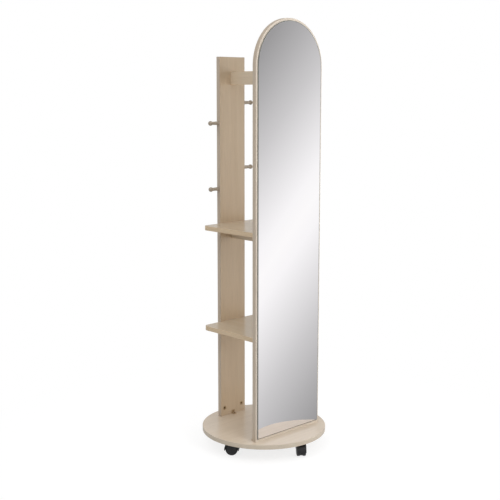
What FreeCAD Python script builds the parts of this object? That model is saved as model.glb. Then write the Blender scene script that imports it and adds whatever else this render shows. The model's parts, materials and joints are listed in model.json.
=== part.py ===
"""Arched full-length mirror on a round castor base, with a peg post, two shelves and tie rails behind it.

Sizes are millimetres. +X runs along the mirror, the mirror faces -Y and +Z is up. The origin is on the
floor under the middle of the base. The whole stand turns and rolls on four twin-wheel castors.
"""

import FreeCAD, Part
import math
import os

V = FreeCAD.Vector
X, Y, Z = V(1, 0, 0), V(0, 1, 0), V(0, 0, 1)

# ---- boards ---------------------------------------------------------------------------------------
board = 16.0                    # melamine-faced board, one stock for every wooden panel
edge_band = 1.0                 # ABS strip glued round the cut edges
base_diameter = 450.0
base_arris = 0.4                # small chamfer on the rim of the base's edge band
panel_width = 320.0
panel_height = 1450.0           # from the base's top face to the crown of the arch
panel_setback = 121.5           # from the base's centre forwards to the panel's front face
post_width = 123.0
post_height = 1328.0            # above the base's top face
post_offset = 166.0             # from the base's centre back to the post's inner face
shelf_width = 292.0
shelf_corner_radius = 20.0      # the two corners beside the post
lower_shelf_top = 366.0         # above the base's top face
upper_shelf_top = 732.5
top_rail_top = 1276.5
top_rail_height = 46.5
under_rail_height = 43.0        # the rail under the upper shelf

# ---- mirror glass ---------------------------------------------------------------------------------
glass_thickness = 3.0
glass_side_margin = 7.0         # board left showing beside the glass
glass_foot_margin = 9.5         # below it
glass_crown_margin = 8.5        # and above its crown
glass_arris_width = 2.5         # flat polished arris all round the glass's front
glass_arris_depth = 0.8
tape_thickness = 1.0            # double-sided foam tape that bonds the glass
tape_width = 25.0
tape_rows = 6
tape_inset = 30.0               # from the glass's edge to the tape

# ---- pegs -----------------------------------------------------------------------------------------
peg_length = 45.5               # from the post's side edge to the end of the ball
peg_root_diameter = 13.4
peg_neck_diameter = 11.2        # just behind the ball
peg_ball_diameter = 17.0
peg_tenon_diameter = 8.0
peg_tenon_length = 18.0
left_peg_height = 1094.0        # upper peg on the left edge, above the base's top face
right_peg_height = 1166.0       # upper peg on the right edge
peg_pitch = 236.0               # from the upper peg of an edge down to the lower one

# ---- knock-down fittings --------------------------------------------------------------------------
cam_diameter = 15.0
cam_depth = 12.5
cam_distance = 34.0             # from the joint face to the cam's centre
post_foot_cam_distance = 30.0
cam_slot_length = 9.0           # cross recess for the screwdriver
cam_slot_width = 1.6
cam_slot_depth = 2.2
bolt_thread_diameter = 5.6
bolt_thread_length = 11.0
bolt_shank_diameter = 7.0
bolt_neck_diameter = 4.4
bolt_neck_length = 4.5
bolt_head_length = 3.0
dowel_diameter = 8.0
dowel_face_depth = 10.0         # the part of the dowel that sits in a board's face
dowel_edge_depth = 20.0         # the part that sits in the other board's edge
fitting_clearance = 0.12        # round every fixed pin, screw and cam, on the radius
dowel_end_gap = 0.5             # room for glue at the dowel's end
post_fitting_inset = 18.5       # from the post's side to its outer fittings
shelf_fitting_inset = 32.0      # from the shelf's side to its fittings at the mirror panel
rail_cam_height = 29.0          # above the rail's lower edge
rail_dowel_height = 11.0
post_foot_dowel_offset = 20.0   # from the post's centre line
panel_foot_dowel_offset = 55.0  # from the panel's centre line

# ---- screws and brackets --------------------------------------------------------------------------
panel_screw_length = 50.0       # connecting screws up through the base into the panel's lower edge
panel_screw_head_diameter = 9.6
panel_screw_head_height = 3.0
panel_screw_neck_diameter = 7.0
panel_screw_thread_diameter = 5.2
panel_screw_spacing = 110.0     # three in a row
bracket_leg = 14.0
bracket_width = 14.0
bracket_thickness = 2.0
bracket_hole_height = 8.5       # from the corner to the screw, on both legs
panel_bracket_inset = 14.0      # from the panel's side to the bracket's centre
bracket_screw_length = 12.0
bracket_screw_diameter = 3.2
bracket_screw_head_diameter = 6.4
bracket_screw_head_height = 1.8

# ---- castors --------------------------------------------------------------------------------------
castor_height = 52.0            # floor to the underside of the base
castor_inset = 42.0             # from the base's rim in to each kingpin
castor_trail = 15.0             # from the kingpin back to the axle
wheel_diameter = 44.0
wheel_width = 11.0
wheel_shoulder = 3.0            # rounding of the tread's outer edge
wheel_dish_diameter = 33.0      # shallow dish in the outer face
wheel_dish_depth = 1.6
wheel_cap_diameter = 13.0       # flat hub cap in the middle of the dish
wheel_hub_wall = 1.2            # material left between the axle's end and the hub cap
axle_diameter = 6.0
running_clearance = 0.08        # on the radius, for everything that turns
side_clearance = 0.5            # between a wheel and the hood's web
hood_wall = 3.0
hood_wheel_gap = 1.2            # between the tread and the hood
hood_overhang = 0.5             # the hood is this much wider than the wheels, each side
hood_lower_edge = 18.0          # above the floor
hood_arris = 1.2
web_thickness = 9.0             # between the two wheels
web_tail_radius = 20.0          # round the axle, almost down to the floor
boss_diameter = 20.0            # swivel boss under the plate
boss_depth = 19.5
swivel_gap = 0.1                # between the boss and the plate
kingpin_diameter = 6.0
kingpin_length = 23.0           # below the plate
kingpin_head_diameter = 10.0
kingpin_head_height = 1.6
kingpin_groove_diameter = 5.0
kingpin_groove_width = 2.4
kingpin_groove_height = 5.0     # from the kingpin's lower end to the groove's middle
snap_rib_width = 1.5            # rib of the hood that snaps into the kingpin's groove
plate_size = 38.0
plate_thickness = 2.5
plate_corner_radius = 4.0
plate_hole_spacing = 27.0
castor_screw_diameter = 3.8
castor_screw_length = 16.0
castor_screw_head_diameter = 7.4
castor_screw_head_height = 2.0

# Four castors in a ring, in degrees: their bearings on the base, and the ways their wheels trail.
castor_bearings_deg = {"left": 181.0, "front": -89.0, "right": 1.0, "rear": 91.0}
castor_trails_deg = {"left": -50.0, "front": -130.0, "right": 101.0, "rear": -152.0}

# ---- places that follow from the sizes --------------------------------------------------------------
base_bottom = castor_height
base_top = base_bottom + board
base_radius = base_diameter / 2
castor_circle_radius = base_radius - castor_inset
panel_front = -panel_setback
panel_back = panel_front + board
panel_top = base_top + panel_height
panel_spring = panel_top - panel_width / 2      # where the arch starts
post_back = post_offset + board
post_middle = post_offset + board / 2
bolt_radius = bolt_shank_diameter / 2

made = {}
drillings = {}


def keep(name, shape):
    """Registers a finished sub-part, or several equal solids, under the node's name."""
    made[name] = shape


def drill(names, tool):
    """Notes a tool to be cut from the named boards once every fitting has its place."""
    for name in names:
        drillings.setdefault(name, []).append(tool)


def pin(radius, length, start, direction):
    return Part.makeCylinder(radius, length, start, direction)


def block(low, high):
    size = high - low
    return Part.makeBox(size.x, size.y, size.z, low)


def turned(profile):
    """Revolves a closed profile of (distance along, radius) points about the X axis."""
    points = [V(along, radius, 0) for along, radius in profile]
    return Part.Face(Part.makePolygon(points + points[:1])).revolve(V(0, 0, 0), X, 360)


def placed(shape, origin, along, outward):
    """Moves a shape from its own frame to origin, with its +X along one direction and its +Z outward."""
    rotation = FreeCAD.Rotation(along, outward.cross(along), outward, "XYZ")
    moved = shape.copy()
    moved.Placement = FreeCAD.Placement(origin, rotation).multiply(shape.Placement)
    return moved


def prism(wire, direction):
    return Part.Face(wire).extrude(direction)


# ---- outlines -------------------------------------------------------------------------------------
def arch_outline(half_width, bottom, top, y):
    """An arched door shape in the plane at y: straight sides and a full half circle on top."""
    spring = top - half_width
    left_foot, right_foot = V(-half_width, y, bottom), V(half_width, y, bottom)
    left_spring, right_spring = V(-half_width, y, spring), V(half_width, y, spring)
    crown = V(0, y, top)
    return Part.Wire([
        Part.makeLine(left_foot, right_foot),
        Part.makeLine(right_foot, right_spring),
        Part.Arc(right_spring, crown, left_spring).toShape(),
        Part.makeLine(left_spring, left_foot),
    ])


def shelf_outline(inset, z):
    """The shelf between panel and post, its two rear corners rounded, drawn in by the edge band."""
    half, rear = shelf_width / 2 - inset, post_offset - inset
    radius = shelf_corner_radius - inset
    side_end, rear_end = rear - radius, half - radius
    bulge = radius * math.sqrt(0.5)
    right_middle = V(rear_end + bulge, side_end + bulge, z)
    left_middle = V(-rear_end - bulge, side_end + bulge, z)
    right_corner = Part.Arc(V(half, side_end, z), right_middle, V(rear_end, rear, z))
    left_corner = Part.Arc(V(-rear_end, rear, z), left_middle, V(-half, side_end, z))
    return Part.Wire([
        Part.makeLine(V(-half, panel_back, z), V(half, panel_back, z)),
        Part.makeLine(V(half, panel_back, z), V(half, side_end, z)),
        right_corner.toShape(),
        Part.makeLine(V(rear_end, rear, z), V(-rear_end, rear, z)),
        left_corner.toShape(),
        Part.makeLine(V(-half, side_end, z), V(-half, panel_back, z)),
    ])


# ---- boards ---------------------------------------------------------------------------------------
def base():
    outer = pin(base_radius, board, V(0, 0, base_bottom), Z)
    core = pin(base_radius - edge_band, board, V(0, 0, base_bottom), Z)
    rims = [edge for edge in outer.Edges if edge.Length > base_diameter]
    keep("base_board", core)
    keep("base_edge_band", outer.makeChamfer(base_arris, rims).cut(core))


def mirror_panel():
    depth = V(0, board, 0)
    outer = prism(arch_outline(panel_width / 2, base_top, panel_top, panel_front), depth)
    core_half, core_top = panel_width / 2 - edge_band, panel_top - edge_band
    core = prism(arch_outline(core_half, base_top, core_top, panel_front), depth)
    keep("mirror_panel", core)
    keep("mirror_panel_edge_band", outer.cut(core))


def mirror_glass():
    """A flat pane with a polished arris, bonded in front of the board by strips of foam tape."""
    half_width = panel_width / 2 - glass_side_margin
    bottom = base_top + glass_foot_margin
    top = panel_top - glass_crown_margin
    back = panel_front - tape_thickness
    front = back - glass_thickness
    shoulder = front + glass_arris_depth
    slab = prism(arch_outline(half_width, bottom, top, back), V(0, shoulder - back, 0))
    rim = arch_outline(half_width, bottom, top, shoulder)
    field = arch_outline(half_width - glass_arris_width, bottom + glass_arris_width,
                         top - glass_arris_width, front)
    keep("mirror_glass", slab.fuse(Part.makeLoft([rim, field], True, True)).removeSplitter())

    reach = half_width - tape_inset
    lowest = bottom + tape_inset
    pitch = (panel_spring - lowest - tape_width) / (tape_rows - 1)
    strips = []
    for row in range(tape_rows):
        low = lowest + row * pitch
        strips.append(block(V(-reach, back, low), V(reach, panel_front, low + tape_width)))
    keep("mirror_tape_strips", Part.makeCompound(strips))


def post():
    half = post_width / 2
    top = base_top + post_height
    core_top = top - edge_band
    core = block(V(edge_band - half, post_offset, base_top), V(half - edge_band, post_back, core_top))
    keep("post", core)
    bands = [block(V(-half, post_offset, base_top), V(edge_band - half, post_back, top)),
             block(V(half - edge_band, post_offset, base_top), V(half, post_back, top)),
             block(V(edge_band - half, post_offset, core_top), V(half - edge_band, post_back, top))]
    keep("post_edge_bands", Part.makeCompound(bands))


def shelf(name, top_height):
    bottom = base_top + top_height - board
    rise = V(0, 0, board)
    core = prism(shelf_outline(edge_band, bottom), rise)
    keep(name, core)
    keep(name + "_edge_band", prism(shelf_outline(0, bottom), rise).cut(core))
    return bottom


def rail(name, low, high, band_above):
    """A board on edge from the panel to the post, banded along its lower edge and, if seen, its upper one."""
    half = board / 2
    core_high = high - edge_band if band_above else high
    keep(name, block(V(-half, panel_back, low + edge_band), V(half, post_offset, core_high)))
    bands = [block(V(-half, panel_back, low), V(half, post_offset, low + edge_band))]
    if band_above:
        bands.append(block(V(-half, panel_back, core_high), V(half, post_offset, high)))
    keep(name + "_edge_bands", Part.makeCompound(bands))


# ---- pegs -----------------------------------------------------------------------------------------
def peg(name, side, height):
    """A turned peg: a tenon in the post's edge, a slightly tapered shaft and a ball on its end."""
    tenon, root, neck = peg_tenon_diameter / 2, peg_root_diameter / 2, peg_neck_diameter / 2
    ball = peg_ball_diameter / 2
    ball_centre = peg_length - ball
    ball_start = ball_centre - math.sqrt(ball ** 2 - neck ** 2)
    corners = [V(-peg_tenon_length, 0, 0), V(-peg_tenon_length, tenon, 0), V(0, tenon, 0), V(0, root, 0),
               V(ball_start, neck, 0)]
    edges = [Part.makeLine(a, b) for a, b in zip(corners, corners[1:])]
    edges.append(Part.Arc(corners[-1], V(ball_centre, ball, 0), V(peg_length, 0, 0)).toShape())
    edges.append(Part.makeLine(V(peg_length, 0, 0), corners[0]))
    solid = Part.Face(Part.Wire(edges)).revolve(V(0, 0, 0), X, 360)
    seat = V(side * post_width / 2, post_middle, base_top + height)
    outward = X * side
    keep(name, placed(solid, seat, outward, Z))
    hole = pin(tenon + fitting_clearance, peg_tenon_length + dowel_end_gap, seat, -outward)
    drill(["post", "post_edge_bands"], hole)


# ---- knock-down fittings --------------------------------------------------------------------------
def cam_lock(distance):
    """Drum that lies flush in a board's face; the bolt's head enters it through a radial bore."""
    radius = cam_diameter / 2
    drum = pin(radius, cam_depth, V(distance, 0, board / 2 - cam_depth), Z)
    head_end = distance + bolt_head_length / 2 + fitting_clearance
    entry = pin(bolt_radius + fitting_clearance, head_end - distance + radius, V(distance - radius, 0, 0), X)
    drum = drum.cut(entry)
    for length, width in ((cam_slot_length, cam_slot_width), (cam_slot_width, cam_slot_length)):
        low = V(distance - length / 2, -width / 2, board / 2 - cam_slot_depth)
        drum = drum.cut(block(low, low + V(length, width, cam_slot_depth)))
    return drum


def cam_bolt(distance):
    """Bolt screwed into a board's face: thread, shank, thin neck and the head that the cam pulls on."""
    thread, neck = bolt_thread_diameter / 2, bolt_neck_diameter / 2
    head_start, head_end = distance - bolt_head_length / 2, distance + bolt_head_length / 2
    neck_start = head_start - bolt_neck_length
    return turned([(-bolt_thread_length, 0), (-bolt_thread_length, thread), (0, thread), (0, bolt_radius),
                   (neck_start, bolt_radius), (neck_start, neck), (head_start, neck),
                   (head_start, bolt_radius), (head_end, bolt_radius), (head_end, 0)])


cam_locks, cam_bolts, dowels = [], [], []


def cam_joint(start, along, outward, face_board, edge_boards, distance=cam_distance):
    """A cam and its bolt at a butt joint. along points from the face board into the edge board."""
    cam_locks.append(placed(cam_lock(distance), start, along, outward))
    cam_bolts.append(placed(cam_bolt(distance), start, along, outward))
    thread_radius = bolt_thread_diameter / 2 + fitting_clearance
    drill([face_board], pin(thread_radius, bolt_thread_length, start, -along))
    drill(edge_boards, pin(bolt_radius + fitting_clearance, distance, start, along))
    pocket_floor = start + along * distance + outward * (board / 2 - cam_depth)
    drill(edge_boards[:1], pin(cam_diameter / 2 + fitting_clearance, cam_depth, pocket_floor, outward))


def dowel_joint(start, along, face_board, edge_boards):
    """A beech dowel at a butt joint, part in one board's face and part in the other board's edge."""
    radius = dowel_diameter / 2
    dowels.append(pin(radius, dowel_face_depth + dowel_edge_depth, start - along * dowel_face_depth, along))
    drill([face_board], pin(radius + fitting_clearance, dowel_face_depth, start, -along))
    drill(edge_boards, pin(radius + fitting_clearance, dowel_edge_depth + dowel_end_gap, start, along))


def shelf_joints(name, bottom):
    """Two cams and a dowel at each end, with the cams turned to the underside."""
    middle = bottom + board / 2
    boards = [name, name + "_edge_band"]
    at_panel = shelf_width / 2 - shelf_fitting_inset
    at_post = post_width / 2 - post_fitting_inset
    for side in (-1, 1):
        cam_joint(V(side * at_panel, panel_back, middle), Y, -Z, "mirror_panel", boards[:1])
        cam_joint(V(side * at_post, post_offset, middle), -Y, -Z, "post", boards)
    dowel_joint(V(0, panel_back, middle), Y, "mirror_panel", boards[:1])
    dowel_joint(V(0, post_offset, middle), -Y, "post", boards)


def rail_joints(name, low):
    """One cam and one dowel at each end, with the cams in the rail's right face."""
    for y, along, face_board in ((panel_back, Y, "mirror_panel"), (post_offset, -Y, "post")):
        cam_joint(V(0, y, low + rail_cam_height), along, X, face_board, [name])
        dowel_joint(V(0, y, low + rail_dowel_height), along, face_board, [name])


def foot_joints():
    """The post stands on two cams and two dowels, the panel on two dowels."""
    for side in (-1, 1):
        outer = side * (post_width / 2 - post_fitting_inset)
        cam_joint(V(outer, post_middle, base_top), Z, -Y, "base_board", ["post"], post_foot_cam_distance)
        dowel_joint(V(side * post_foot_dowel_offset, post_middle, base_top), Z, "base_board", ["post"])
        panel_spot = V(side * panel_foot_dowel_offset, panel_front + board / 2, base_top)
        dowel_joint(panel_spot, Z, "base_board", ["mirror_panel"])


def panel_screw(allowance=0.0):
    """Countersunk connecting screw, pointing along +X from its head. With an allowance it is the hole."""
    head = panel_screw_head_diameter / 2 + allowance
    neck = panel_screw_neck_diameter / 2 + allowance
    thread = panel_screw_thread_diameter / 2 + allowance
    return turned([(0, 0), (0, head), (panel_screw_head_height, neck), (board, neck), (board, thread),
                   (panel_screw_length, thread), (panel_screw_length, 0)])


def panel_screws():
    """A row of screws from under the base into the panel's lower edge."""
    screws = []
    for place in (-1, 0, 1):
        start = V(place * panel_screw_spacing, panel_front + board / 2, base_bottom)
        screws.append(placed(panel_screw(), start, Z, Y))
        drill(["base_board", "mirror_panel"], placed(panel_screw(fitting_clearance), start, Z, Y))
    keep("panel_screws", Part.makeCompound(screws))


def pan_head_screw(shank, length, head, head_height):
    """A screw in its own frame: the head's underside is at zero and the shank runs along -X."""
    crown = head * 0.6
    return turned([(-length, 0), (-length, shank), (0, shank), (0, head), (head_height / 2, head),
                   (head_height, crown), (head_height, 0)])


bracket_screws = []


def corner_bracket(name, corner, outward, face_board):
    """A pressed L bracket in the corner between a standing board and the base, with two screws."""
    across = Z.cross(outward)
    half = bracket_width / 2
    legs = [block(V(0, -half, 0), V(bracket_thickness, half, bracket_leg)),
            block(V(0, -half, 0), V(bracket_leg, half, bracket_thickness))]
    angle = legs[0].fuse(legs[1]).removeSplitter()
    hole = bracket_screw_diameter / 2 + fitting_clearance
    angle = angle.cut(pin(hole, bracket_thickness, V(0, 0, bracket_hole_height), X))
    angle = angle.cut(pin(hole, bracket_thickness, V(bracket_hole_height, 0, 0), Z))
    keep(name, placed(angle, corner, outward, Z))

    screw = pan_head_screw(bracket_screw_diameter / 2, bracket_screw_length,
                           bracket_screw_head_diameter / 2, bracket_screw_head_height)
    into_board = corner + outward * bracket_thickness + Z * bracket_hole_height
    into_base = corner + outward * bracket_hole_height + Z * bracket_thickness
    for seat, out, target in ((into_board, outward, face_board), (into_base, Z, "base_board")):
        bracket_screws.append(placed(screw, seat, out, across))
        drill([target], pin(hole, bracket_screw_length, seat, -out))


# ---- castors --------------------------------------------------------------------------------------
# Each castor is drawn about its kingpin: +X is the way the wheels trail and Z = 0 is the floor.
wheel_radius = wheel_diameter / 2
axle_centre = V(castor_trail, 0, wheel_radius)
plate_underside = base_bottom - plate_thickness
wheel_inner_face = web_thickness / 2 + side_clearance
wheel_outer_face = wheel_inner_face + wheel_width
axle_end = wheel_outer_face - wheel_dish_depth - wheel_hub_wall
hood_half_width = wheel_outer_face + hood_overhang
hood_inner_radius = wheel_radius + hood_wheel_gap
hood_radius = hood_inner_radius + hood_wall
kingpin_radius = kingpin_diameter / 2
kingpin_end = plate_underside - kingpin_length
plate_hole_reach = plate_hole_spacing / 2


def across_axle(radius, low_y, high_y):
    """A cylinder about the axle from one lateral position to another."""
    return pin(radius, high_y - low_y, axle_centre + V(0, low_y, 0), Y)


def castor_screw(allowance=0.0):
    """Countersunk screw, pointing along +X from its head. With an allowance it is the hole."""
    head, shank = castor_screw_head_diameter / 2 + allowance, castor_screw_diameter / 2 + allowance
    return turned([(0, 0), (0, head), (castor_screw_head_height, shank), (castor_screw_length, shank),
                   (castor_screw_length, 0)])


def castor_plate():
    half = plate_size / 2
    plate = block(V(-half, -half, plate_underside), V(half, half, base_bottom))
    uprights = [edge for edge in plate.Edges if abs(edge.Length - plate_thickness) < 1e-6]
    plate = plate.makeFillet(plate_corner_radius, uprights)
    for x in (-plate_hole_reach, plate_hole_reach):
        for y in (-plate_hole_reach, plate_hole_reach):
            plate = plate.cut(placed(castor_screw(fitting_clearance), V(x, y, plate_underside), Z, X))
    return plate.cut(kingpin_hole())


def riveted(profile):
    """Stands a profile drawn from the plate's top face downwards on the kingpin's axis."""
    return placed(turned(profile), V(0, 0, base_bottom), -Z, X)


def kingpin_hole():
    """The plate's countersunk hole."""
    radius, head = kingpin_radius + fitting_clearance, kingpin_head_diameter / 2 + fitting_clearance
    return riveted([(0, 0), (0, head), (kingpin_head_height, radius), (plate_thickness, radius),
                    (plate_thickness, 0)])


def kingpin():
    """Steel pin riveted into the plate: a conical head flush with the plate's top and a grooved shaft."""
    groove, end = kingpin_groove_diameter / 2, plate_thickness + kingpin_length
    groove_low = end - kingpin_groove_height + kingpin_groove_width / 2
    groove_high = groove_low - kingpin_groove_width
    return riveted([(0, 0), (0, kingpin_head_diameter / 2), (kingpin_head_height, kingpin_radius),
                    (groove_high, kingpin_radius), (groove_high, groove), (groove_low, groove),
                    (groove_low, kingpin_radius), (end, kingpin_radius), (end, 0)])


def castor_hood():
    """Moulded body of the castor: a fender over both wheels, a web between them and the swivel boss."""
    fender = across_axle(hood_radius, -hood_half_width, hood_half_width)
    rims = [edge for edge in fender.Edges if abs(abs(edge.CenterOfMass.y) - hood_half_width) < 1e-6]
    fender = fender.makeChamfer(hood_arris, rims)
    reach = hood_radius + castor_trail
    under = block(V(-reach, -reach, -reach), V(2 * reach, reach, hood_lower_edge))
    fender = fender.cut(under)
    boss_top = plate_underside - swivel_gap
    body = fender.fuse(pin(boss_diameter / 2, boss_depth, V(0, 0, boss_top - boss_depth), Z))
    for low, high in ((web_thickness / 2, reach), (-reach, -web_thickness / 2)):
        body = body.cut(across_axle(hood_inner_radius, low, high))
    body = body.fuse(across_axle(web_tail_radius, -web_thickness / 2, web_thickness / 2)).removeSplitter()

    bore = kingpin_radius + running_clearance
    floor = kingpin_end - dowel_end_gap
    socket = pin(bore, boss_top - floor, V(0, 0, floor), Z)
    rib_middle = kingpin_end + kingpin_groove_height
    rib_radius = kingpin_groove_diameter / 2 + running_clearance
    rib = pin(bore, snap_rib_width, V(0, 0, rib_middle - snap_rib_width / 2), Z)
    rib = rib.cut(pin(rib_radius, snap_rib_width, V(0, 0, rib_middle - snap_rib_width / 2), Z))
    body = body.cut(socket.cut(rib))
    return body.cut(across_axle(axle_diameter / 2 + fitting_clearance / 2, -reach, reach))


def castor_wheel():
    """A moulded wheel on the +Y side: rounded tread, dished outer face, flat hub cap, blind axle bore."""
    bore = axle_diameter / 2 + running_clearance
    dish, cap = wheel_dish_diameter / 2, wheel_cap_diameter / 2
    dish_floor = wheel_outer_face - wheel_dish_depth
    bore_end = axle_end + running_clearance
    bend = wheel_shoulder * (1 - math.sqrt(0.5))
    profile = [(wheel_inner_face, bore), (wheel_inner_face, wheel_radius),
               (wheel_outer_face - wheel_shoulder, wheel_radius),
               (wheel_outer_face - bend, wheel_radius - bend),
               (wheel_outer_face, wheel_radius - wheel_shoulder), (wheel_outer_face, dish),
               (dish_floor, cap), (dish_floor, 0), (bore_end, 0), (bore_end, bore)]
    return placed(turned(profile), axle_centre, Y, Z)


def castor(name, bearing, trail_angle, screws):
    """Builds one castor and turns it to where its wheels trail."""
    angle = math.radians(bearing)
    spot = V(castor_circle_radius * math.cos(angle), castor_circle_radius * math.sin(angle), 0)
    trail = V(math.cos(math.radians(trail_angle)), math.sin(math.radians(trail_angle)), 0)
    radial = V(math.cos(angle), math.sin(angle), 0)

    keep(name + "_plate", placed(castor_plate(), spot, radial, Z))
    keep(name + "_kingpin", placed(kingpin(), spot, radial, Z))
    keep(name + "_hood", placed(castor_hood(), spot, trail, Z))
    keep(name + "_axle", placed(across_axle(axle_diameter / 2, -axle_end, axle_end), spot, trail, Z))
    wheel = castor_wheel()
    keep(name + "_wheel_1", placed(wheel, spot, trail, Z))
    keep(name + "_wheel_2", placed(wheel.mirror(V(0, 0, 0), Y), spot, trail, Z))

    side = Z.cross(radial)
    for x in (-plate_hole_reach, plate_hole_reach):
        for y in (-plate_hole_reach, plate_hole_reach):
            seat = spot + radial * x + side * y + Z * plate_underside
            screws.append(placed(castor_screw(), seat, Z, radial))
            drill(["base_board"], placed(castor_screw(fitting_clearance), seat, Z, radial))


# ---- assembly -------------------------------------------------------------------------------------
def build():
    base()
    mirror_panel()
    mirror_glass()
    post()
    lower_bottom = shelf("lower_shelf", lower_shelf_top)
    upper_bottom = shelf("upper_shelf", upper_shelf_top)
    top_rail_low = base_top + top_rail_top - top_rail_height
    under_rail_low = upper_bottom - under_rail_height
    rail("top_rail", top_rail_low, top_rail_low + top_rail_height, True)
    rail("under_shelf_rail", under_rail_low, upper_bottom, False)

    for side_name, side, height in (("left", -1, left_peg_height), ("right", 1, right_peg_height)):
        peg("peg_%s_upper" % side_name, side, height)
        peg("peg_%s_lower" % side_name, side, height - peg_pitch)

    shelf_joints("lower_shelf", lower_bottom)
    shelf_joints("upper_shelf", upper_bottom)
    rail_joints("top_rail", top_rail_low)
    rail_joints("under_shelf_rail", under_rail_low)
    foot_joints()
    panel_screws()
    bracket_reach = panel_width / 2 - panel_bracket_inset
    corner_bracket("panel_bracket_left", V(-bracket_reach, panel_back, base_top), Y, "mirror_panel")
    corner_bracket("panel_bracket_right", V(bracket_reach, panel_back, base_top), Y, "mirror_panel")
    corner_bracket("post_bracket", V(0, post_offset, base_top), -Y, "post")

    castor_screws = []
    for place, bearing in castor_bearings_deg.items():
        castor("castor_" + place, bearing, castor_trails_deg[place], castor_screws)

    keep("cam_locks", Part.makeCompound(cam_locks))
    keep("cam_bolts", Part.makeCompound(cam_bolts))
    keep("wooden_dowels", Part.makeCompound(dowels))
    keep("bracket_screws", Part.makeCompound(bracket_screws))
    keep("castor_screws", Part.makeCompound(castor_screws))

    for name, tools in drillings.items():
        made[name] = made[name].cut(tools)


def export():
    os.makedirs("parts", exist_ok=True)
    for name, shape in made.items():
        shape.exportStep("parts/%s.step" % name)
    print(len(made), "nodes,", sum(len(shape.Solids) for shape in made.values()), "solids")


build()
export()
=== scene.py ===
# %% [markdown]
# # A mirror stand on castors
#
# The stand is an arched mirror on a round base, with a narrow peg post behind it, two shelves and
# two tie rails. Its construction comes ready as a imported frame: every board, fitting and castor
# part is already in place. This lesson gives each of them its finish, adds the fine pieces that
# construction drawings leave out, and sets up the studio.

# %% Load the frame
import json
import math
import bmesh
import bpy
import numpy as np
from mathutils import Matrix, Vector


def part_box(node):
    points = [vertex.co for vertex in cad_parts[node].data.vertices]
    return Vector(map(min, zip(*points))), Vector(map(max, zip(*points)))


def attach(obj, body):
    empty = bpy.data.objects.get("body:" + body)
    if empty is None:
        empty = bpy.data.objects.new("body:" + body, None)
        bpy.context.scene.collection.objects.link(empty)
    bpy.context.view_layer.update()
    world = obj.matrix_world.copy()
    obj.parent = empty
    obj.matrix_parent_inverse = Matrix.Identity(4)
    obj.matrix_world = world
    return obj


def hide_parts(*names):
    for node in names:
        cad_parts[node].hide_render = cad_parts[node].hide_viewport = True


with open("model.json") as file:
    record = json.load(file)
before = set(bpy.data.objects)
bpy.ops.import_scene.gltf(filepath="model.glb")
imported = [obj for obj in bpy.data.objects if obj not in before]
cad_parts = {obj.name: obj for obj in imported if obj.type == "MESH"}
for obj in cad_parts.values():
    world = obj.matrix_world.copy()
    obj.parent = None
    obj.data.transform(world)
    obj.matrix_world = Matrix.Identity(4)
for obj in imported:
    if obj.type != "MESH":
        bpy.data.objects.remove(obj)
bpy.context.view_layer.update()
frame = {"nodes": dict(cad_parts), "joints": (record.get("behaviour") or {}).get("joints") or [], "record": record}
nodes = frame["nodes"]

# %% [markdown]
# ## Small helpers
#
# Colours are written as the hex values that a paint chart gives. Shaders work in linear light, so
# one function turns them. Another adds a shader node, sets its values and links its inputs, so
# that each finish below reads as a short recipe from an empty material to its output. The same
# nodes could be placed by hand in the shader editor, but text is easier to compare, and one
# changed number then shows in every finish that uses it.

# %% Helpers for colours and shader nodes
MM = 0.001
MIX_A, MIX_B, MIX_RESULT = 6, 7, 2               # the colour sockets of a Mix node


def linear(hex_colour):
    """sRGB to linear: c/12.92 below 0.04045, else ((c + 0.055)/1.055)^2.4. Alpha is 1."""
    srgb = np.array([int(hex_colour[i:i + 2], 16) for i in (1, 3, 5)]) / 255
    light = np.where(srgb <= 0.04045, srgb / 12.92, ((srgb + 0.055) / 1.055) ** 2.4)
    return (*map(float, light), 1.0)


def add(tree, kind, inputs=None, stops=(), **settings):
    """Adds a node of a kind. inputs maps a socket to a value or to another node's output; stops
    are the (position, hex colour) pairs of a colour ramp."""
    node = tree.nodes.new("ShaderNode" + kind)
    for name, value in settings.items():
        setattr(node, name, value)
    for name, value in (inputs or {}).items():
        socket = node.inputs[name]
        if isinstance(value, bpy.types.NodeSocket):
            tree.links.new(value, socket)
        else:
            socket.default_value = value
    for position, _ in stops[1:-1]:              # a new ramp already has its two ends
        node.color_ramp.elements.new(position)
    for i, (position, tone) in enumerate(stops):
        node.color_ramp.elements[i].position = position
        node.color_ramp.elements[i].color = linear(tone)
    return node


def new_material(name):
    """An empty node material and its tree."""
    material = bpy.data.materials.new(name)
    material.use_nodes = True
    material.node_tree.nodes.clear()
    return material, material.node_tree


WHITE = linear("#FFFFFF")
print("colour and node helpers ready; white is", WHITE)

# %% [markdown]
# ## The boards: maple-look melamine
#
# The boards are chipboard faced with melamine paper, printed with a pale maple grain. The print is
# nearly plain: fine pores a few tenths of a millimetre wide and some centimetres long, and
# broader, very soft bands. It lies under clear resin, so it has a satin gloss and no relief to
# speak of. A scanned sheet could be laid on as a picture, but a picture repeats and needs its own
# map on every board. Two stretched noises give pores and bands without either. The grain runs
# along each board's long side, as it does when boards are cut from a sheet. Some boards get a tone
# of their own that stands in for light: the mirror panel is paler, a painted highlight of its lit
# front; the base greyer, a painted sheen of the white room on its top; and the shelves a shade
# deeper than the rails, painted shade.

# %% Melamine board material
PORE_WIDTH, PORE_LENGTH = 1.6 * MM, 60 * MM      # real pores are finer; this is as fine as shows
PORE_DARKEST, PORE_END = 0.36, 0.50              # noise values in a pore's middle and at its edge
PORE_SHADE = 0.93                                # what a pore leaves of the tone beside it
PORE_RELIEF, PORE_RELIEF_STRENGTH = 0.1 * MM, 0.04
BAND_WIDTH, BAND_LENGTH = 18 * MM, 400 * MM
BAND_DARKEST, BAND_LIGHTEST = 0.30, 0.70         # noise values
RESIN_ROUGHNESS, RESIN_IOR = 0.22, 1.55


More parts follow.
